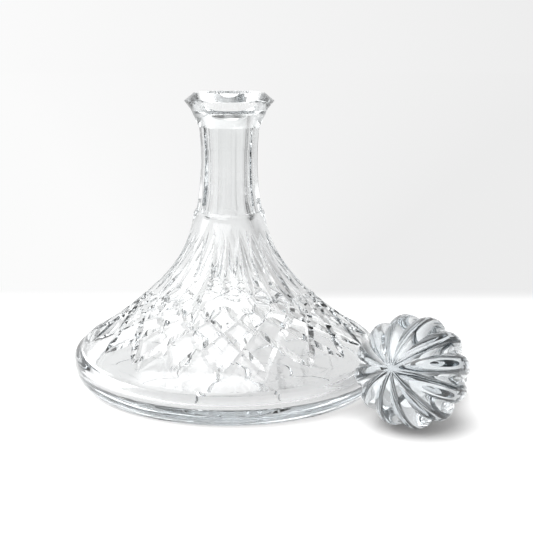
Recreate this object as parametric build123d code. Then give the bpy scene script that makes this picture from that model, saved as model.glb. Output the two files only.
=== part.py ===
from build123d import *
import os
from math import asin, atan2, cos, degrees, hypot, radians, sin, sqrt, tan

# A flat-bottomed decanter of cut glass, with its ball stopper lying beside it.
# Millimetres. The origin is the centre of the decanter's foot, +Z is up its neck, and -Y is its front.
# Outlines are (radius, height) pairs, and a turn is an angle from the front towards +X, in degrees.

# ---- decanter, outside ----
FOOT_R = 88.0            # flat that it stands on
RIM_R = 97.5             # widest radius of the rounded base rim
RIM_Z = 17.5             # height of that widest radius
SHOULDER_FOOT = (80.3, 32.6)    # where the rounded rim runs into the sloping shoulder
SHOULDER_SLOPE = (-0.83, 0.55)
RING_R = 22.1            # ring where the shoulder meets the neck
RING_Z = 106.0
NECK_FOOT_R = 20.6       # neck just above the ring
NECK_FOOT_Z = 108.6
WAIST_R = 17.35          # narrowest neck, over the corners of its panels
WAIST_Z = 139.0
COLLAR_R = 18.2          # neck under the flared collar
COLLAR_Z = 157.5
LIP_UNDER_R = 23.4
LIP_UNDER_Z = 169.0
LIP_R = 27.4             # sharp edge of the lip
LIP_Z = 174.0
TOP_R = 21.4
TOP_Z = 179.0

# ---- decanter, inside ----
FLOOR_Z = 8.5            # thickness of the base
FLOOR_R = 80.0
CHAMBER_R = 88.5         # widest radius of the chamber
CHAMBER_Z = 16.5
DOME_FOOT = (76.2, 26.9)        # where the chamber's side runs into its dome
DOME_SLOPE = (-0.8, 0.6)
BORE_R = 9.7             # straight bore of the neck
BORE_FOOT_Z = 118.0
SEAT_Z = 145.0           # the ground seat runs from here up to SEAT_TOP_Z
SEAT_TOP_Z = 168.0
SEAT_FOOT_R = 10.15
SEAT_SLOPE = 0.05        # radius gained per height, a taper of 1 in 10 on diameter
SEAT_TOP_R = SEAT_FOOT_R + SEAT_SLOPE * (SEAT_TOP_Z - SEAT_Z)
CUP_R = 16.8             # foot of the wide cup above the seat
CUP_Z = 170.0
MOUTH_R = 18.6           # top of that cup

# ---- cuts in the decanter ----
CUTS = 10                # the pattern repeats this many times around
PITCH = 360.0 / CUTS
CUT_TURN = -3.75         # turn of one short flute
PANEL_APOTHEM = 16.45    # neck panels at the waist
PANEL_WHEEL_R = 176.0
PANEL_FOOT_Z = 107.2
PANEL_TOP_Z = 158.4
FLUTE_TOP = (24.0, 96.0)        # where every flute starts
SHORT_FLUTE_END = (48.1, 58.3)  # tip of a short flute, where two diagonal cuts start
LONG_FLUTE_END = (61.6, 46.4)   # tip of a long flute, where two diagonal cuts cross
SHORT_WHEEL_R = 50.0
LONG_WHEEL_R = 67.0
FLUTE_HALF_ANGLE = 64.0
DIAGONAL_END = (86.0, 29.0)
DIAGONAL_DEPTH = 0.8
DIAGONAL_OVERRUN = 2.0
DIAGONAL_HALF_ANGLE = 60.0
RAYS = 10                # star cut under the base
RAY_TURN = 22.0
RAY_INNER_R = 6.0
RAY_OUTER_R = 80.0
RAY_DEPTH = 2.2
RAY_HALF_ANGLE = 50.0
CUTTER_DEPTH = 6.0       # how far a V-shaped cutter reaches out of the glass
OVERRUN = 5.0            # how far any other cutting solid does
PANEL_HALF_WIDTH = 13.0
WHEEL_OVERRUN = 8.0      # degrees that a wheel's sector runs past each end of its cut

# ---- stopper, measured from the centre of its ball along its own axis ----
BALL_R = 31.8            # over the lobes
LOBES = 12
LOBE_R = 7.3             # roundness of each lobe across
CORE_R = 27.0            # sphere that fills the ball inside its lobes
STEM_R = 13.0
STEM_START = 22.0        # inside the ball
PEG_SHOULDER = 1.5       # height of the cone from the stem in to the peg
PEG_START = 40.0
PEG_END = 72.0
PEG_CHAMFER = 1.0
SEAT_CLEARANCE = 0.05
SEATED_BALL_Z = 217.0    # height of the ball's centre when the peg is in its seat

# ---- where the stopper lies ----
LYING_X = 100.8
LYING_Y = -86.1
LYING_HEADING = -121.4   # direction of the top of the ball, seen from above, from +X


def polar(radius, height, turn):
    """A point at this radius and height around the neck's axis."""
    return Vector(radius * sin(radians(turn)), -radius * cos(radians(turn)), height)


def turned(outline):
    """The solid of revolution of a closed half outline."""
    return revolve(Plane.XZ * make_face(outline), Axis.Z, 360)


def around(count, first_turn, solid):
    """Copies of a solid spaced evenly around the neck's axis."""
    return [Rot(0, 0, first_turn + i * 360.0 / count) * solid for i in range(count)]


def outer_outline():
    """The uncut blank, from the centre of the foot out and up to the mouth, and back down the axis."""
    foot = Line((0, 0), (FOOT_R, 0))
    rim = Spline((FOOT_R, 0), (94.7, 5.1), (RIM_R, RIM_Z), tangents=[(1, 0), (0, 1)])
    rim_top = Spline((RIM_R, RIM_Z), (90.5, 26.4), SHOULDER_FOOT, tangents=[(0, 1), SHOULDER_SLOPE])
    shoulder = Spline(
        SHOULDER_FOOT, (57.1, 50.2), (35.7, 72.0), (25.6, 91.0), (RING_R, RING_Z),
        tangents=[SHOULDER_SLOPE, (-0.06, 1)],
    )
    ring = Line((RING_R, RING_Z), (NECK_FOOT_R, NECK_FOOT_Z))
    neck = Spline((NECK_FOOT_R, NECK_FOOT_Z), (WAIST_R, WAIST_Z), (COLLAR_R, COLLAR_Z))
    lip = Polyline(
        (COLLAR_R, COLLAR_Z), (LIP_UNDER_R, LIP_UNDER_Z), (LIP_R, LIP_Z), (TOP_R, TOP_Z), (0, TOP_Z), (0, 0)
    )
    return [foot, rim, rim_top, shoulder, ring, neck, lip]


def inner_outline():
    """The chamber, neck bore, ground seat and cup-shaped mouth, run out above the top."""
    floor = Line((0, FLOOR_Z), (FLOOR_R, FLOOR_Z))
    corner = ThreePointArc((FLOOR_R, FLOOR_Z), (86.1, 10.9), (CHAMBER_R, CHAMBER_Z))
    side = Spline((CHAMBER_R, CHAMBER_Z), (85.2, 20.6), DOME_FOOT, tangents=[(0, 1), DOME_SLOPE])
    dome = Spline(
        DOME_FOOT, (53.6, 46.0), (31.3, 68.8), (16.5, 93.5), (BORE_R, BORE_FOOT_Z),
        tangents=[DOME_SLOPE, (0, 1)],
    )
    neck = Polyline(
        (BORE_R, BORE_FOOT_Z), (BORE_R, SEAT_Z), (SEAT_FOOT_R, SEAT_Z), (SEAT_TOP_R, SEAT_TOP_Z),
        (CUP_R, CUP_Z), (MOUTH_R, TOP_Z), (MOUTH_R, TOP_Z + OVERRUN), (0, TOP_Z + OVERRUN), (0, FLOOR_Z),
    )
    return [floor, corner, side, dome, neck]


def panel_apothem(z):
    """Distance of a neck panel from the axis: a large wheel hollows it along the neck."""
    return PANEL_APOTHEM + PANEL_WHEEL_R - sqrt(PANEL_WHEEL_R**2 - (z - WAIST_Z) ** 2)


def panel_cutter():
    """The block outside one neck panel, at the front."""
    low = (panel_apothem(PANEL_FOOT_Z), PANEL_FOOT_Z)
    high = (panel_apothem(PANEL_TOP_Z), PANEL_TOP_Z)
    panel = ThreePointArc(low, (PANEL_APOTHEM, WAIST_Z), high)
    outside_r = LIP_R + OVERRUN
    outside = Polyline(high, (outside_r, PANEL_TOP_Z), (outside_r, PANEL_FOOT_Z), low)
    block = extrude(Plane.YZ * make_face([panel, outside]), PANEL_HALF_WIDTH, both=True)
    return Rot(0, 0, 180) * block


def v_section(tip_y, half_angle, opening):
    """A V with its tip at tip_y, opening along +Y or -Y."""
    half_width = CUTTER_DEPTH * tan(radians(half_angle))
    back_y = tip_y + opening * CUTTER_DEPTH
    return make_face(Polyline((0, tip_y), (half_width, back_y), (-half_width, back_y), (0, tip_y)))


def wheel_cutter(start, end, wheel_r, half_angle):
    """
    The V-shaped edge of a grinding wheel that stands in the plane X = 0, at the front.
    It meets the glass at start and end, and bites deepest half way between them.
    """
    chord = Vector(end[0] - start[0], end[1] - start[1])
    middle = Vector((start[0] + end[0]) / 2, (start[1] + end[1]) / 2)
    outward = Vector(-chord.Y, chord.X).normalized()
    centre = middle + outward * sqrt(wheel_r**2 - (chord.length / 2) ** 2)
    reach = degrees(asin(chord.length / 2 / wheel_r)) + WHEEL_OVERRUN
    sector = revolve(v_section(wheel_r, half_angle, -1), Axis.X, 2 * reach)
    inward = degrees(atan2(-outward.Y, outward.X))
    return Pos(0, -centre.X, centre.Y) * Rot(inward - reach, 0, 0) * sector


def diagonal_cutter(side):
    """A straight V cut from a short flute's tip at the front down to the plain rim, to the side given as 1 or -1."""
    top = polar(*SHORT_FLUTE_END, 0)
    bottom = polar(*DIAGONAL_END, side * PITCH)
    along = (bottom - top).normalized()
    outward = along.cross(polar(1, 0, side * PITCH / 2 + 90)).normalized()
    across = outward.cross(along)
    start = top - along * DIAGONAL_OVERRUN - outward * DIAGONAL_DEPTH
    length = (bottom - top).length + 2 * DIAGONAL_OVERRUN
    section = Plane(origin=start, x_dir=across, z_dir=along) * v_section(0, DIAGONAL_HALF_ANGLE, 1)
    return extrude(section, length)


def ray_cutter():
    """One long thin leaf of the star under the base."""
    length = RAY_OUTER_R - RAY_INNER_R
    wheel_r = (length**2 / 4 + RAY_DEPTH**2) / (2 * RAY_DEPTH)
    return wheel_cutter((RAY_OUTER_R, 0), (RAY_INNER_R, 0), wheel_r, RAY_HALF_ANGLE)


def make_decanter():
    blank = turned(outer_outline()) - turned(inner_outline())
    long_turn = CUT_TURN + PITCH / 2
    short_flute = wheel_cutter(FLUTE_TOP, SHORT_FLUTE_END, SHORT_WHEEL_R, FLUTE_HALF_ANGLE)
    long_flute = wheel_cutter(FLUTE_TOP, LONG_FLUTE_END, LONG_WHEEL_R, FLUTE_HALF_ANGLE)
    cutters = around(CUTS, CUT_TURN, panel_cutter())
    cutters += around(CUTS, CUT_TURN, short_flute)
    cutters += around(CUTS, long_turn, long_flute)
    for side in (-1, 1):
        cutters += around(2 * CUTS, CUT_TURN, diagonal_cutter(side))
    cutters += around(RAYS, RAY_TURN, ray_cutter())
    return blank - cutters


def stem_outline():
    """The stem under the ball and the tapered ground peg."""
    seat_top = SEATED_BALL_Z - SEAT_TOP_Z
    peg_top_r = SEAT_TOP_R - SEAT_CLEARANCE - SEAT_SLOPE * (PEG_START - seat_top)
    peg_end_r = SEAT_TOP_R - SEAT_CLEARANCE - SEAT_SLOPE * (PEG_END - seat_top)
    return Polyline(
        (0, -STEM_START), (STEM_R, -STEM_START), (STEM_R, -PEG_START + PEG_SHOULDER), (peg_top_r, -PEG_START),
        (peg_end_r, -PEG_END + PEG_CHAMFER), (peg_end_r - PEG_CHAMFER, -PEG_END), (0, -PEG_END), (0, -STEM_START),
    )


def upright_stopper():
    """The stopper on its own axis, with the centre of its ball at the origin."""
    solid = Sphere(CORE_R) + turned(stem_outline())
    for i in range(LOBES // 2):
        lobe_pair = Rot(0, 0, i * 360.0 / LOBES) * Rot(90, 0, 0) * Torus(BALL_R - LOBE_R, LOBE_R)
        solid += lobe_pair
    return solid


def make_stopper():
    """The stopper lying on its ball, between two lobes, and on the end of its peg."""
    half_gap = radians(180.0 / LOBES)
    ball_height = (BALL_R - LOBE_R) * cos(half_gap) + LOBE_R
    seat_top = SEATED_BALL_Z - SEAT_TOP_Z
    edge_z = PEG_END - PEG_CHAMFER
    edge_r = SEAT_TOP_R - SEAT_CLEARANCE - SEAT_SLOPE * (PEG_END - seat_top)
    tilt = degrees(asin(ball_height / hypot(edge_z, edge_r)) - atan2(edge_r, edge_z))
    solid = Rot(0, 0, LYING_HEADING) * Rot(0, 90 - tilt, 0) * Rot(0, 0, degrees(half_gap)) * upright_stopper()
    return Pos(LYING_X, LYING_Y, -solid.bounding_box().min.Z) * solid


def main():
    os.makedirs("parts", exist_ok=True)
    export_step(make_decanter(), "parts/decanter.step")
    export_step(make_stopper(), "parts/stopper.step")


main()
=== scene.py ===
import math
import bmesh
import bpy
from mathutils import Matrix, Vector


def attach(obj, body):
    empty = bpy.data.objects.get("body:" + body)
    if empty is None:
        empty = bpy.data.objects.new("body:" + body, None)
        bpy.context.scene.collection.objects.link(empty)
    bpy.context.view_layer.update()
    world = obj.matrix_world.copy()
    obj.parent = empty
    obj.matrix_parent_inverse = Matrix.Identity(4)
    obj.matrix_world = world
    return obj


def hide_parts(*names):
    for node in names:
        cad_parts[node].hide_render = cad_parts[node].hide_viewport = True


# Looks for the cut-glass decanter and its loose ball stopper.
# The glass is measured in millimetres and made in metres; the stage and the camera are in metres.
# Outlines are (radius, height) pairs, and a turn is an angle in degrees from the front (-Y) towards +X.

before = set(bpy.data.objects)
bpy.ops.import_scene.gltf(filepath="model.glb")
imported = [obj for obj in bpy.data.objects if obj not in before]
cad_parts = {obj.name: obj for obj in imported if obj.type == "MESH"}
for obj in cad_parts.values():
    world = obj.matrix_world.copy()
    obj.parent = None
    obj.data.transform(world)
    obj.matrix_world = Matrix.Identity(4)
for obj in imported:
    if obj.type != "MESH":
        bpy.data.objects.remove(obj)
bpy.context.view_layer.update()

MM = 0.001

# ---- decanter, outside ----
FOOT_R = 88.0
RIM = (97.45, 17.5)             # widest point of the rounded base rim
RING = (22.1, 106.0)            # where the shoulder meets the neck
NECK_FOOT = (20.6, 108.6)
WAIST = (17.35, 139.0)
COLLAR = (18.2, 157.5)
LIP_UNDER = (23.4, 169.0)
LIP = (27.4, 174.0)
TOP = (21.4, 179.0)

# ---- decanter, inside ----
FLOOR_Z = 8.5
FLOOR_R = 80.0
CORNER = (86.1, 10.9)
CHAMBER = (88.5, 16.5)          # widest point of the chamber
BORE_R = 9.7
BORE_FOOT_Z = 118.0
SEAT_Z = 145.0
SEAT_TOP_Z = 168.0
SEAT_FOOT_R = 10.15
SEAT_SLOPE = 0.05               # radius gained per height of the ground taper
SEAT_TOP_R = SEAT_FOOT_R + SEAT_SLOPE * (SEAT_TOP_Z - SEAT_Z)
CUP = (16.8, 170.0)
MOUTH_R = 18.6

BLANK_COLUMNS = 240             # columns of the mesh around the blank

# ---- cuts ----
CUTS = 10
PITCH = 360.0 / CUTS
CUT_TURN = -3.75
PANEL_APOTHEM = 16.45
PANEL_WHEEL_R = 176.0
PANEL_FOOT_Z = 107.2
PANEL_TOP_Z = 158.4
PANEL_HALF_WIDTH = 7.0
PANEL_OUTSIDE = 34.0            # how far out the block reaches that cuts a panel
FLUTE_TOP_Z = 96.0
SHORT_FLUTE_Z = 58.3
LONG_FLUTE_Z = 46.4
FLUTE_HALF_ANGLE = 64.0
SHORT_FLUTE_DEPTH = 2.3
LONG_FLUTE_DEPTH = 2.9
FLUTE_PROUD = 0.9               # how far a cutter stands out of the glass
DIAGONAL_HALF_ANGLE = 57.0
DIAGONAL_DEPTH = 1.75
DIAGONAL_TIPS = (0.12, 0.16)    # shares of the cut's length that its two tips take
DIAGONAL_PROUD = 0.7
DIAGONAL_PATH = [(0, SHORT_FLUTE_Z), (9, 52), (18, LONG_FLUTE_Z), (27, 38.8), (36, 29)]  # (turn, height)
RAYS = 10
RAY_TURN = 22.0
RAY_SPAN = (6.0, 80.0)
RAY_DEPTH = 2.2
RAY_TIPS = (0.75, 0.25)
RAY_HALF_ANGLE = 50.0
RAY_PROUD = 0.2

# ---- stopper ----
BALL_R = 31.77
LOBES = 12
LOBE_R = 7.3
LOBE_COLUMNS = 10               # columns of the mesh across one lobe
FIRST_ROW = 1.2                 # rows of the mesh from the top of the ball down, in degrees
ROW_STEP = 2.0
LOBED_ROWS = 75
STEM_R = 13.0
STEM_START = 36.0               # the stem and peg are measured down from the ball's centre
STEM_END = 38.5
STEM_ROWS = 8
PEG_START = 40.0
PEG_END = 72.0
PEG_ROWS = 16
PEG_CHAMFER = 1.0
PEG_GAP = 0.15                  # how much slimmer the peg is than the seat, on radius
SEATED_BALL_Z = 217.0
LYING_X = 100.8
LYING_Y = -86.1
LYING_HEADING = -121.4          # where the top of the ball points, from +X

# ---- glass ----
CRYSTAL_IOR = 1.545
WAVINESS_STRENGTH = 0.01
WAVINESS_DEPTH = 0.0002
SHARP_ANGLE = 14                # edges between facets that turn by more than this stay sharp
DEPTH_TINT = (0.51, 0.55, 0.575, 1)
DECANTER_DEPTH_TINT = 9.0       # how strongly the glass is tinted through its thickness
# the stopper's tint is partly the crystal's own and partly painted shade that darkens the thick ball
STOPPER_TINT_AND_SHADE = 17.0

# ---- light: how bright the room is behind, to the left, to the right and in front ----
ROOM_FLOOR = (0.95, 0.8, 0.4, 0.3)
ROOM_LOW = (0.97, 0.8, 0.05, 0.05)
ROOM_MIDDLE = (1.05, 1.5, 0.5, 0.2)
ROOM_HIGH = (0.7, 0.9, 0.5, 0.7)
SOFT_BOX = 3.6
SOFT_BOX_SIDE = (-0.30, -0.25, 0.90)
SOFT_BOX_EDGE = (0.80, 0.90)
UNDER_GLOW = 0.75
NEAR_GLOW = 0.17
UNDER_EDGE = (0.088, 0.104)     # radii between which the glow under the base fades into the glow around it
LOW_TO_MIDDLE = (0.22, 0.38)    # heights, as shares of the way up, over which one band turns into the next
MIDDLE_TO_HIGH = (0.65, 0.85)
BACKDROP_SPAN = (-0.24, 0.34)   # painted shade: the backdrop darkens between these headings, from left to right, away from the room's bright left side
# the backdrop's tone on the lit left and in the painted shade on the right
BACKDROP_LIT_TO_SHADED = (0.965, 0.84)

# ---- stage ----
STAGE_R = 8.0
STAGE_DROP = 0.0004             # keeps the floor just under the glass
PAPER_MIDDLE_Y = -0.03
PAPER_DEPTH = (0.14, 0.27)      # distances over which the lit paper eases into the backdrop's tone
PAPER_WIDTH = (0.34, 0.50)

# ---- camera ----
CAMERA_PLACE = (0, -0.6208, 0.2056)
CAMERA_TILT = 77.8
CAMERA_LENS = 68.55
CAMERA_SENSOR = 36.0
CAMERA_SHIFT_X = 0.070


def catmull(points, first, last, count):
    """A smooth curve through the points, leaving along first and arriving along last."""
    steps = [(Vector(b) - Vector(a)).length for a, b in zip(points, points[1:])]
    knots = [0.0]
    for s in steps:
        knots.append(knots[-1] + s)
    slopes = []
    for i, p in enumerate(points):
        if i == 0:
            slopes.append(Vector(first).normalized())
        elif i == len(points) - 1:
            slopes.append(Vector(last).normalized())
        else:
            a = (Vector(p) - Vector(points[i - 1])) / steps[i - 1]
            b = (Vector(points[i + 1]) - Vector(p)) / steps[i]
            slopes.append((a * steps[i] + b * steps[i - 1]) / (steps[i - 1] + steps[i]))
    out = []
    for k in range(count + 1):
        s = knots[-1] * k / count
        i = min(max(j for j in range(len(points)) if knots[j] <= s + 1e-9), len(points) - 2)
        t = (s - knots[i]) / steps[i]
        h = steps[i]
        p0, p1 = Vector(points[i]), Vector(points[i + 1])
        out.append(
            p0 * (2 * t**3 - 3 * t**2 + 1) + slopes[i] * h * (t**3 - 2 * t**2 + t)
            + p1 * (3 * t**2 - 2 * t**3) + slopes[i + 1] * h * (t**3 - t**2)
        )
    return out


# ---------------------------------------------------------------- outlines of the decanter

def rim_outline():
    return catmull([(FOOT_R, 0), (94.7, 5.1), RIM], (1, 0), (0, 1), 16)


def shoulder_outline():
    points = [RIM, (90.5, 26.4), (80.3, 32.6), (57.1, 50.2), (35.7, 72), (25.6, 91), RING]
    return catmull(points, (0, 1), (-0.06, 1), 96)


def neck_outline():
    return catmull([NECK_FOOT, WAIST, COLLAR], (-0.15, 1), (0.08, 1), 30)


def chamber_outline():
    """From the edge of the floor up to the straight bore."""
    corner = catmull([(FLOOR_R, FLOOR_Z), CORNER, CHAMBER], (1, 0), (0, 1), 12)
    side = [CHAMBER, (85.2, 20.6), (76.2, 26.9)]
    dome = [(53.6, 46), (31.3, 68.8), (16.5, 93.5), (BORE_R, BORE_FOOT_Z)]
    return corner + catmull(side + dome, (0, 1), (0, 1), 90)[1:]


def straight(start, end, count):
    """The points between two corners, without the first."""
    return [Vector(start).lerp(Vector(end), i / count) for i in range(1, count + 1)]


def blank_outline():
    """The uncut blank: out under the foot, up the outside, and down the inside to the middle of the floor."""
    out = [Vector((0, 0)), Vector((FOOT_R, 0))]
    out += rim_outline()[1:] + shoulder_outline()[1:] + neck_outline()
    out += straight(COLLAR, LIP_UNDER, 6) + straight(LIP_UNDER, LIP, 3) + straight(LIP, TOP, 3)
    out += [Vector((MOUTH_R, TOP[1]))]
    out += straight((MOUTH_R, TOP[1]), CUP, 6) + straight(CUP, (SEAT_TOP_R, SEAT_TOP_Z), 5)
    out += straight((SEAT_TOP_R, SEAT_TOP_Z), (SEAT_FOOT_R, SEAT_Z), 8)
    out += [Vector((BORE_R, SEAT_Z))] + straight((BORE_R, SEAT_Z), (BORE_R, BORE_FOOT_Z), 6)
    out += chamber_outline()[::-1][1:] + [Vector((0, FLOOR_Z))]
    return out


SHOULDER = shoulder_outline()


def on_shoulder(height):
    """Radius and outward normal, in the plane of the outline, at this height of the uncut shoulder."""
    i = next(k for k in range(len(SHOULDER) - 1) if SHOULDER[k + 1].y >= height)
    a, b = SHOULDER[i], SHOULDER[i + 1]
    t = (height - a.y) / (b.y - a.y)
    before = b - SHOULDER[max(i - 1, 0)]
    after = SHOULDER[min(i + 2, len(SHOULDER) - 1)] - a
    along = before.normalized().lerp(after.normalized(), t).normalized()
    return a.lerp(b, t).x, Vector((along.y, -along.x))


def polar(radius, height, turn):
    angle = math.radians(turn)
    return Vector((radius * math.sin(angle), -radius * math.cos(angle), height)) * MM


def shoulder_point(height, turn):
    radius, normal = on_shoulder(height)
    return polar(radius, height, turn), polar(normal.x, normal.y, turn).normalized()


# ---------------------------------------------------------------- meshes

def make_mesh(name, points, faces):
    mesh = bpy.data.meshes.new(name)
    mesh.from_pydata([tuple(p) for p in points], [], faces)
    mesh.validate()
    return mesh


def as_object(name, mesh):
    piece = bpy.data.objects.new(name, mesh)
    bpy.context.scene.collection.objects.link(piece)
    return piece


def turned(name, outline, columns):
    """A closed solid of revolution. The outline starts and ends on the axis."""
    rings = outline[1:-1]
    points = [polar(0, outline[0].y, 0)]
    for p in rings:
        points += [polar(p.x, p.y, 360.0 * c / columns) for c in range(columns)]
    points.append(polar(0, outline[-1].y, 0))
    last = len(points) - 1
    faces = []
    for c in range(columns):
        d = (c + 1) % columns
        faces.append((0, 1 + d, 1 + c))
        for r in range(len(rings) - 1):
            a, b = 1 + r * columns, 1 + (r + 1) * columns
            faces.append((a + c, a + d, b + d, b + c))
        end = 1 + (len(rings) - 1) * columns
        faces.append((end + c, end + d, last))
    return make_mesh(name, points, faces)


def v_cutter(samples, half_angle, proud):
    """
    A closed bar of V section swept along a cut. Each sample is a point on the glass, its outward normal and
    how deep the V bites there. The bar stands proud of the glass by the given height.
    """
    points = []
    for i, (point, normal, depth) in enumerate(samples):
        before, after = samples[max(i - 1, 0)][0], samples[min(i + 1, len(samples) - 1)][0]
        across = normal.cross((after - before).normalized())
        rise = depth + proud
        half_width = rise * math.tan(math.radians(half_angle))
        bottom = point - normal * depth * MM
        top = point + normal * proud * MM
        points += [bottom, top - across * half_width * MM, top + across * half_width * MM]
    faces = [(0, 1, 2)]
    for i in range(len(samples) - 1):
        a, b = 3 * i, 3 * i + 3
        for j, k in ((0, 1), (1, 2), (2, 0)):
            faces.append((a + k, a + j, b + j, b + k))
    end = len(points) - 3
    faces.append((end + 2, end + 1, end))
    return points, faces


def leaf(share, tip_in, tip_out):
    """Depth along a cut, 0 at both ends, as shares of the cut that each tip takes."""
    if share < tip_in:
        x = share / tip_in
    elif share > 1 - tip_out:
        x = (1 - share) / tip_out
    else:
        return 1.0
    return 1 - (1 - x) ** 2


def flute(turn, end_z, depth, half_angle):
    """One long pointed cut straight down the shoulder."""
    samples = []
    count = 40
    for i in range(-1, count + 2):
        share = i / count
        height = FLUTE_TOP_Z + (end_z - FLUTE_TOP_Z) * share
        point, normal = shoulder_point(height, turn)
        samples.append((point, normal, depth * 4 * share * (1 - share)))
    return v_cutter(samples, half_angle, FLUTE_PROUD)


def diagonal(turn, side):
    """One cut slanting down from a flute's tip to the plain rim."""
    path = catmull(DIAGONAL_PATH, (9, -6.3), (9, -9.8), 36)
    samples = []
    for i, p in enumerate(path):
        share = i / (len(path) - 1)
        point, normal = shoulder_point(p.y, turn + side * p.x)
        samples.append((point, normal, DIAGONAL_DEPTH * leaf(share, *DIAGONAL_TIPS)))
    return v_cutter(samples, DIAGONAL_HALF_ANGLE, DIAGONAL_PROUD)


def ray(turn):
    """One thin leaf of the star under the base."""
    samples = []
    count = 24
    for i in range(count + 1):
        share = i / count
        radius = RAY_SPAN[0] + (RAY_SPAN[1] - RAY_SPAN[0]) * share
        samples.append((polar(radius, 0, turn), Vector((0, 0, -1)), RAY_DEPTH * leaf(share, *RAY_TIPS)))
    return v_cutter(samples, RAY_HALF_ANGLE, RAY_PROUD)


def panel_apothem(height):
    """Distance of a neck panel from the axis: a large wheel hollows it along the neck."""
    return PANEL_APOTHEM + PANEL_WHEEL_R - math.sqrt(PANEL_WHEEL_R**2 - (height - WAIST[1]) ** 2)


def panel(turn):
    """The block outside one hollowed panel of the neck."""
    count = 28
    spin = Matrix.Rotation(math.radians(turn), 3, "Z")
    points = []
    for i in range(count + 1):
        height = PANEL_FOOT_Z + (PANEL_TOP_Z - PANEL_FOOT_Z) * i / count
        near = panel_apothem(height)
        for x, y in (
            (-PANEL_HALF_WIDTH, near),
            (PANEL_HALF_WIDTH, near),
            (PANEL_HALF_WIDTH, PANEL_OUTSIDE),
            (-PANEL_HALF_WIDTH, PANEL_OUTSIDE),
        ):
            points.append(spin @ Vector((x, -y, height)) * MM)
    faces = [(0, 1, 2, 3)]
    for i in range(count):
        a, b = 4 * i, 4 * i + 4
        for j in range(4):
            k = (j + 1) % 4
            faces.append((a + k, a + j, b + j, b + k))
    faces.append(tuple(len(points) - 4 + j for j in (3, 2, 1, 0)))
    return points, faces


def joined(name, parts):
    """One cutting mesh from several that don't touch each other."""
    points, faces = [], []
    for more_points, more_faces in parts:
        shift = len(points)
        points += more_points
        faces += [tuple(i + shift for i in face) for face in more_faces]
    mesh = make_mesh(name, points, faces)
    shape = bmesh.new()
    shape.from_mesh(mesh)
    bmesh.ops.recalc_face_normals(shape, faces=shape.faces)
    shape.to_mesh(mesh)
    shape.free()
    return mesh


def cut_with(piece, name, parts):
    """Take these cutters out of the piece. It returns their object, which is deleted afterwards."""
    cutter = as_object(name, joined(name, parts))
    cutter.hide_render = True
    modifier = piece.modifiers.new(name, "BOOLEAN")
    modifier.operation = "DIFFERENCE"
    modifier.solver = "MANIFOLD"
    modifier.object = cutter
    return cutter


def apply_modifiers(piece):
    evaluated = piece.evaluated_get(bpy.context.evaluated_depsgraph_get())
    mesh = bpy.data.meshes.new_from_object(evaluated)
    piece.modifiers.clear()
    piece.data = mesh


def make_decanter():
    piece = as_object("decanter_glass", turned("decanter_glass", blank_outline(), BLANK_COLUMNS))
    cutters = []
    turns = [CUT_TURN + PITCH * i for i in range(CUTS)]
    for half in (0, 1):
        cutters.append(cut_with(piece, f"panels_{half}", [panel(t) for t in turns[half::2]]))
    short = [flute(t, SHORT_FLUTE_Z, SHORT_FLUTE_DEPTH, FLUTE_HALF_ANGLE) for t in turns]
    long = [flute(t + PITCH / 2, LONG_FLUTE_Z, LONG_FLUTE_DEPTH, FLUTE_HALF_ANGLE) for t in turns]
    cutters.append(cut_with(piece, "short_flutes", short))
    cutters.append(cut_with(piece, "long_flutes", long))
    for side in (-1, 1):
        for half in (0, PITCH / 2):
            name = f"diagonals_{side}_{int(half)}"
            cutters.append(cut_with(piece, name, [diagonal(t + half, side) for t in turns]))
    cutters.append(cut_with(piece, "star", [ray(RAY_TURN + i * 360.0 / RAYS) for i in range(RAYS)]))
    apply_modifiers(piece)
    for cutter in cutters:
        mesh = cutter.data
        bpy.data.objects.remove(cutter)
        bpy.data.meshes.remove(mesh)
    return piece


def lobed_row(angle, columns_per_lobe):
    """One ring of the ball, at this angle in radians from its top: round lobes that meet in sharp valleys."""
    major = BALL_R - LOBE_R
    q = math.tan(math.pi / LOBES) * math.sin(angle)
    widest = math.atan(q) + math.asin(q * major / (LOBE_R * math.hypot(1, q)))
    out = []
    for lobe in range(LOBES):
        crest = (lobe + 0.5) * 2 * math.pi / LOBES
        for c in range(columns_per_lobe):
            beta = (2 * c / columns_per_lobe - 1) * widest
            reach = major + LOBE_R * math.cos(beta)
            side = LOBE_R * math.sin(beta)
            flat = reach * math.sin(angle)
            out.append(
                Vector((
                    flat * math.cos(crest) - side * math.sin(crest),
                    flat * math.sin(crest) + side * math.cos(crest),
                    reach * math.cos(angle),
                ))
            )
    return out


def round_row(row, radius, height):
    """A plain ring below a lobed one, keeping each point's direction."""
    out = []
    for p in row:
        direction = Vector((p.x, p.y)).normalized()
        out.append(Vector((direction.x * radius, direction.y * radius, height)))
    return out


def peg_radius(below):
    """Radius of the tapered peg at this distance below the ball's centre."""
    seat_top = SEATED_BALL_Z - SEAT_TOP_Z
    return SEAT_TOP_R - PEG_GAP - SEAT_SLOPE * (below - seat_top)


def stem_row(last, share):
    """One ring between the last lobed one and the round stem, this share of the way down."""
    ease = 1 - (1 - share) ** 2
    return [
        Vector((a.x + (b.x - a.x) * ease, a.y + (b.y - a.y) * ease, a.z + (b.z - a.z) * share**1.3))
        for a, b in zip(last, round_row(last, STEM_R, -STEM_START))
    ]


def stopper_rows():
    """The rings of the stopper from the top of its ball down to the end of its peg."""
    rows = [lobed_row(math.radians(FIRST_ROW + ROW_STEP * i), LOBE_COLUMNS) for i in range(LOBED_ROWS)]
    last = rows[-1]
    rows += [stem_row(last, i / STEM_ROWS) for i in range(1, STEM_ROWS + 1)]
    rows.append(round_row(last, STEM_R, -STEM_END))
    for i in range(PEG_ROWS + 1):
        below = PEG_START + (PEG_END - PEG_CHAMFER - PEG_START) * i / PEG_ROWS
        rows.append(round_row(last, peg_radius(below), -below))
    rows.append(round_row(last, peg_radius(PEG_END - PEG_CHAMFER) - PEG_CHAMFER, -PEG_END))
    return rows


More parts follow.
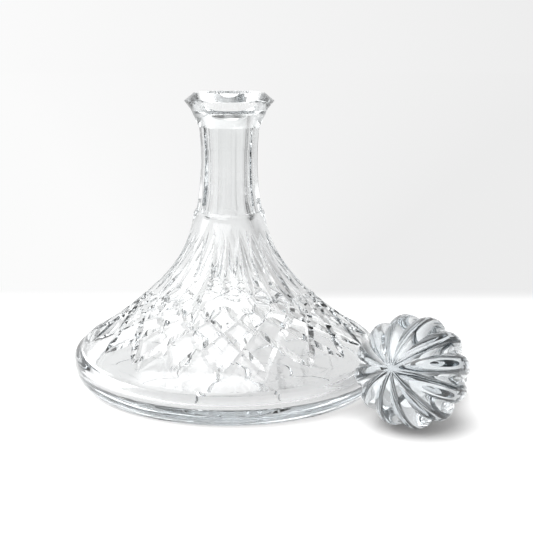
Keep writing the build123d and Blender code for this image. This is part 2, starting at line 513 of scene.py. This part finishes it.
def stopper_faces(row_count, columns):
    """Faces that join the rings and close both ends."""
    end = 1 + row_count * columns
    faces = []
    for c in range(columns):
        d = (c + 1) % columns
        faces.append((0, 1 + c, 1 + d))
        for r in range(row_count - 1):
            a, b = 1 + r * columns, 1 + (r + 1) * columns
            faces.append((a + d, a + c, b + c, b + d))
        a = 1 + (row_count - 1) * columns
        faces.append((a + d, a + c, end))
    return faces


def laid_down(points):
    """The stopper's points turned and moved so that it lies on two lobes and on the end of its peg."""
    half_gap = math.pi / LOBES
    ball_height = (BALL_R - LOBE_R) * math.cos(half_gap) + LOBE_R
    edge_z = PEG_END - PEG_CHAMFER
    edge_r = peg_radius(edge_z)
    tilt = math.asin(ball_height / math.hypot(edge_z, edge_r)) - math.atan2(edge_r, edge_z)
    lying = Matrix.Rotation(math.radians(LYING_HEADING), 3, "Z") @ Matrix.Rotation(math.pi / 2 - tilt, 3, "Y")
    points = [lying @ p for p in points]
    lowest = min(p.z for p in points)
    return [(p + Vector((LYING_X, LYING_Y, -lowest))) * MM for p in points]


def make_stopper():
    rows = stopper_rows()
    points = [Vector((0, 0, BALL_R))]
    for row in rows:
        points += row
    points.append(Vector((0, 0, -PEG_END)))
    faces = stopper_faces(len(rows), len(rows[0]))
    return as_object("stopper_glass", make_mesh("stopper_glass", laid_down(points), faces))


def shade(piece, angle):
    piece.data.shade_smooth()
    piece.data.set_sharp_from_angle(angle=math.radians(angle))


# ---------------------------------------------------------------- materials

def new_material(name):
    material = bpy.data.materials.new(name)
    material.use_nodes = True
    tree = material.node_tree
    shader = tree.nodes["Principled BSDF"]
    return material, tree, shader


def noise(tree, scale, detail):
    place = tree.nodes.new("ShaderNodeTexCoord")
    node = tree.nodes.new("ShaderNodeTexNoise")
    node.inputs["Scale"].default_value = scale
    node.inputs["Detail"].default_value = detail
    tree.links.new(place.outputs["Object"], node.inputs["Vector"])
    return node


def ramp(tree, source, low, high):
    """A colour ramp between two colours over the middle of a noise."""
    node = tree.nodes.new("ShaderNodeValToRGB")
    node.color_ramp.elements[0].position = 0.35
    node.color_ramp.elements[0].color = low
    node.color_ramp.elements[1].position = 0.65
    node.color_ramp.elements[1].color = high
    tree.links.new(source, node.inputs["Fac"])
    return node


def crystal(name, absorption):
    """Clear polished glass with a faint waviness, tinted through its thickness. In the stopper the tint is
    set stronger than in the decanter, and the extra is painted shade.
    """
    material, tree, shader = new_material(name)
    shader.inputs["Transmission Weight"].default_value = 1.0
    shader.inputs["IOR"].default_value = CRYSTAL_IOR
    shader.inputs["Roughness"].default_value = 0.0
    tint = ramp(tree, noise(tree, 9, 2).outputs["Fac"], (0.985, 0.992, 0.990, 1), (1, 1, 1, 1))
    tree.links.new(tint.outputs["Color"], shader.inputs["Base Color"])
    bump = tree.nodes.new("ShaderNodeBump")
    bump.inputs["Strength"].default_value = WAVINESS_STRENGTH
    bump.inputs["Distance"].default_value = WAVINESS_DEPTH
    tree.links.new(noise(tree, 12, 0).outputs["Fac"], bump.inputs["Height"])
    tree.links.new(bump.outputs["Normal"], shader.inputs["Normal"])
    volume = tree.nodes.new("ShaderNodeVolumeAbsorption")
    volume.inputs["Color"].default_value = DEPTH_TINT
    volume.inputs["Density"].default_value = absorption
    tree.links.new(volume.outputs["Volume"], tree.nodes["Material Output"].inputs["Volume"])
    return material


# ---------------------------------------------------------------- values and directions in shaders

def ranged(tree, source, low, high, to_low, to_high):
    """A smooth step from one value to another while the source goes from low to high."""
    node = tree.nodes.new("ShaderNodeMapRange")
    node.interpolation_type = "SMOOTHSTEP"
    for name, value in (("From Min", low), ("From Max", high), ("To Min", to_low), ("To Max", to_high)):
        node.inputs[name].default_value = value
    tree.links.new(source, node.inputs["Value"])
    return node.outputs["Result"]


def math_node(tree, operation, a, b):
    node = tree.nodes.new("ShaderNodeMath")
    node.operation = operation
    for socket, value in zip(node.inputs, (a, b)):
        if isinstance(value, float):
            socket.default_value = value
        else:
            tree.links.new(value, socket)
    return node.outputs[0]


def mixed(tree, share, low, high):
    """Between two values by a share from 0 to 1."""
    rise = math_node(tree, "SUBTRACT", high, low)
    return math_node(tree, "ADD", low, math_node(tree, "MULTIPLY", rise, share))


def heading(tree, vector):
    """X and Y of the level direction in which a place or a view direction lies from the middle."""
    level = tree.nodes.new("ShaderNodeVectorMath")
    level.operation = "MULTIPLY"
    level.inputs[1].default_value = (1, 1, 0)
    tree.links.new(vector, level.inputs[0])
    unit = tree.nodes.new("ShaderNodeVectorMath")
    unit.operation = "NORMALIZE"
    tree.links.new(level.outputs[0], unit.inputs[0])
    split = tree.nodes.new("ShaderNodeSeparateXYZ")
    tree.links.new(unit.outputs[0], split.inputs[0])
    return split.outputs


def backdrop_with_painted_shade(tree, vector):
    """Light grey all round, with painted shade that makes it a little darker towards +X."""
    tone = tree.nodes.new("ShaderNodeMapRange")
    tone.inputs["From Min"].default_value = BACKDROP_SPAN[0]
    tone.inputs["From Max"].default_value = BACKDROP_SPAN[1]
    tone.inputs["To Min"].default_value = BACKDROP_LIT_TO_SHADED[0]
    tone.inputs["To Max"].default_value = BACKDROP_LIT_TO_SHADED[1]
    tree.links.new(heading(tree, vector)["X"], tone.inputs["Value"])
    return tone.outputs["Result"]


def room(tree, vector, back, left, right, front):
    """How light one band of the room is by heading, from its level behind, at each side and in front."""
    direction = heading(tree, vector)
    total = None
    sides = (("Y", 1.0, back), ("Y", -1.0, front), ("X", 1.0, right), ("X", -1.0, left))
    for axis, sign, brightness in sides:
        toward = math_node(tree, "MAXIMUM", math_node(tree, "MULTIPLY", direction[axis], sign), 0.0)
        part = math_node(tree, "MULTIPLY", math_node(tree, "MULTIPLY", toward, toward), brightness)
        total = part if total is None else math_node(tree, "ADD", total, part)
    return total


def by_viewer(tree, hidden, shown):
    """One value for the glass and the lit surfaces, and another for what the camera sees directly."""
    path = tree.nodes.new("ShaderNodeLightPath")
    choice = tree.nodes.new("ShaderNodeMix")
    tree.links.new(path.outputs["Is Camera Ray"], choice.inputs["Factor"])
    tree.links.new(hidden, choice.inputs["A"])
    tree.links.new(shown, choice.inputs["B"])
    return choice.outputs["Result"]


# ---------------------------------------------------------------- stage, light and camera

def floor_material():
    """
    Lit white paper near the object, easing further out into the backdrop's tone with its painted shade
    towards +X. The paper glows weakly, most of all under the base, in place of the light that would come down
    through the glass.
    """
    material, tree, shader = new_material("stage_paper")
    shader.inputs["Roughness"].default_value = 0.9
    shader.inputs["Specular IOR Level"].default_value = 0.1
    fibre = ramp(tree, noise(tree, 400, 4).outputs["Fac"], (0.90, 0.90, 0.90, 1), (0.93, 0.93, 0.93, 1))
    tree.links.new(fibre.outputs["Color"], shader.inputs["Base Color"])
    place = tree.nodes.new("ShaderNodeTexCoord")
    split = tree.nodes.new("ShaderNodeSeparateXYZ")
    tree.links.new(place.outputs["Object"], split.inputs[0])
    behind = math_node(tree, "ABSOLUTE", math_node(tree, "ADD", split.outputs["Y"], -PAPER_MIDDLE_Y), 0.0)
    beside = math_node(tree, "ABSOLUTE", split.outputs["X"], 0.0)
    far_y = ranged(tree, behind, *PAPER_DEPTH, 0.0, 1.0)
    far_x = ranged(tree, beside, *PAPER_WIDTH, 0.0, 1.0)
    far = math_node(tree, "MAXIMUM", far_y, far_x)
    glow = tree.nodes.new("ShaderNodeEmission")
    # painted shade: the far paper, as the camera sees it, takes the backdrop's tone, darker towards +X
    tone = backdrop_with_painted_shade(tree, place.outputs["Object"])
    dim = room(tree, place.outputs["Object"], *ROOM_FLOOR)
    tree.links.new(by_viewer(tree, dim, tone), glow.inputs["Color"])
    flat = tree.nodes.new("ShaderNodeVectorMath")
    flat.operation = "LENGTH"
    tree.links.new(place.outputs["Object"], flat.inputs[0])
    under = ranged(tree, flat.outputs["Value"], *UNDER_EDGE, UNDER_GLOW, NEAR_GLOW)
    shader.inputs["Emission Color"].default_value = (1, 1, 1, 1)
    tree.links.new(under, shader.inputs["Emission Strength"])
    mix = tree.nodes.new("ShaderNodeMixShader")
    tree.links.new(far, mix.inputs[0])
    tree.links.new(shader.outputs[0], mix.inputs[1])
    tree.links.new(glow.outputs[0], mix.inputs[2])
    tree.links.new(mix.outputs[0], tree.nodes["Material Output"].inputs["Surface"])
    return material


def make_stage():
    shape = bmesh.new()
    bmesh.ops.create_circle(shape, cap_ends=True, segments=96, radius=STAGE_R)
    mesh = bpy.data.meshes.new("stage_floor")
    shape.to_mesh(mesh)
    shape.free()
    floor = as_object("stage_floor", mesh)
    floor.location.z = -STAGE_DROP
    floor.data.materials.append(floor_material())


def make_world():
    world = bpy.data.worlds.new("studio")
    bpy.context.scene.world = world
    world.use_nodes = True
    tree = world.node_tree
    background = tree.nodes["Background"]
    place = tree.nodes.new("ShaderNodeTexCoord")
    split = tree.nodes.new("ShaderNodeSeparateXYZ")
    tree.links.new(place.outputs["Generated"], split.inputs[0])

    # bright behind and to the left, dark in front and to the right, with a soft box overhead
    # the backdrop as the camera sees it, with painted shade towards +X
    shaded_wall = backdrop_with_painted_shade(tree, place.outputs["Generated"])
    low = room(tree, place.outputs["Generated"], *ROOM_LOW)
    middle = room(tree, place.outputs["Generated"], *ROOM_MIDDLE)
    high = room(tree, place.outputs["Generated"], *ROOM_HIGH)
    low_to_middle = ranged(tree, split.outputs["Z"], *LOW_TO_MIDDLE, 0.0, 1.0)
    middle_to_high = ranged(tree, split.outputs["Z"], *MIDDLE_TO_HIGH, 0.0, 1.0)
    studio = mixed(tree, middle_to_high, mixed(tree, low_to_middle, low, middle), high)
    box_side = tree.nodes.new("ShaderNodeVectorMath")
    box_side.operation = "DOT_PRODUCT"
    box_side.inputs[1].default_value = Vector(SOFT_BOX_SIDE).normalized()
    tree.links.new(place.outputs["Generated"], box_side.inputs[0])
    box = ranged(tree, box_side.outputs["Value"], *SOFT_BOX_EDGE, 0.0, SOFT_BOX)
    level = math_node(tree, "ADD", studio, box)
    tree.links.new(by_viewer(tree, level, shaded_wall), background.inputs["Color"])
    background.inputs["Strength"].default_value = 1.0


def make_camera():
    data = bpy.data.cameras.new("camera")
    data.sensor_width = CAMERA_SENSOR
    data.lens = CAMERA_LENS
    data.shift_x = CAMERA_SHIFT_X
    data.clip_start = 0.01
    data.clip_end = 50
    camera = bpy.data.objects.new("camera", data)
    camera.location = CAMERA_PLACE
    camera.rotation_euler = (math.radians(CAMERA_TILT), 0, 0)
    bpy.context.scene.collection.objects.link(camera)
    bpy.context.scene.camera = camera


def make_render_settings():
    scene = bpy.context.scene
    scene.view_settings.view_transform = "Standard"
    scene.cycles.max_bounces = 32
    scene.cycles.transmission_bounces = 28
    scene.cycles.glossy_bounces = 12
    scene.cycles.transparent_max_bounces = 12
    scene.cycles.caustics_refractive = False
    scene.cycles.use_denoising = True
    scene.cycles.seed = 7


def finish_piece(piece, glass, body):
    """Give a piece its glass, and put it in the place of its CAD node."""
    piece.data.materials.clear()
    piece.data.materials.append(glass)
    shade(piece, SHARP_ANGLE)
    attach(piece, body)
    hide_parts(body)


decanter = make_decanter()
stopper = make_stopper()
finish_piece(decanter, crystal("decanter_crystal", DECANTER_DEPTH_TINT), "decanter")
# the stopper's stronger tint is partly painted shade
finish_piece(stopper, crystal("stopper_crystal", STOPPER_TINT_AND_SHADE), "stopper")

make_stage()
make_world()
make_camera()
make_render_settings()
